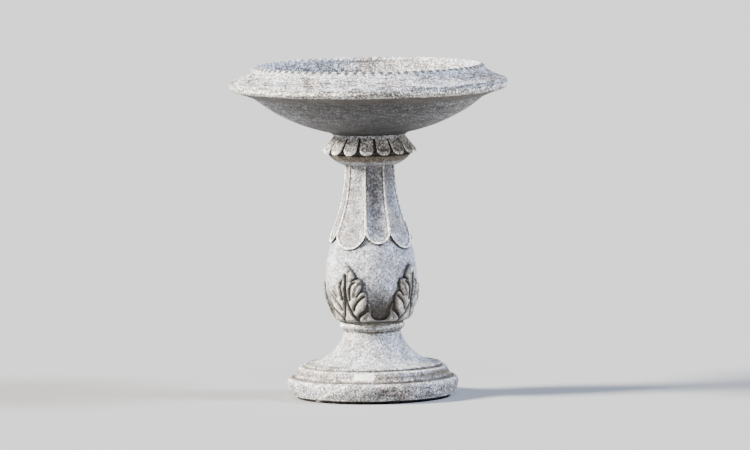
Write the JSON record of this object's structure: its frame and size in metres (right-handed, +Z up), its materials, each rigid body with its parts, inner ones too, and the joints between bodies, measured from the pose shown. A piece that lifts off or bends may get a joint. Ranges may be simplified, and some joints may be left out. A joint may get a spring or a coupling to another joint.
{
  "type": "bird bath",
  "caption": "Miniature bird bath: round shallow basin with a beaded rim on a turned stem with hanging petals, leaves in relief and a round stepped plinth.",
  "frame": {"origin": "centre of the round face that stands on the ground", "axes": "+Z up along the axis that every section is turned about; the front faces -Y, +X to the right"},
  "size_m": [0.0636, 0.0636, 0.076],
  "materials": {
    "base_stone": "grey stone-effect paint over cast resin, dry-brushed pale on its edges, brown wash in recesses",
    "urn_stone": "pale grey stone-effect paint, finely speckled, darker under the petals",
    "leaf_stone": "pale grey stone-effect paint, dark wash in the veins",
    "petal_stone": "grey stone-effect paint with cream dry-brushed petal edges",
    "basin_stone": "grey stone-effect paint, darker and streaked underneath, warm wash under the lip",
    "rim_stone": "pale grey stone-effect paint, dry-brushed near white on the beads",
    "pin_steel": "plain drawn steel rod, hidden"
  },
  "bodies": {
    "root": {"plinth_disc": "base_stone", "plinth_moulding": "base_stone", "foot": "base_stone", "waist_ring": "base_stone", "urn": "urn_stone", "acanthus_leaf_1": "leaf_stone", "acanthus_leaf_2": "leaf_stone", "acanthus_leaf_3": "leaf_stone", "acanthus_leaf_4": "leaf_stone", "petal_sheath": "petal_stone", "ovolo_ring": "base_stone", "petal_collar": "petal_stone", "basin": "basin_stone", "rim_beading": "rim_stone", "core_pin": "pin_steel"}
  },
  "joints": []
}
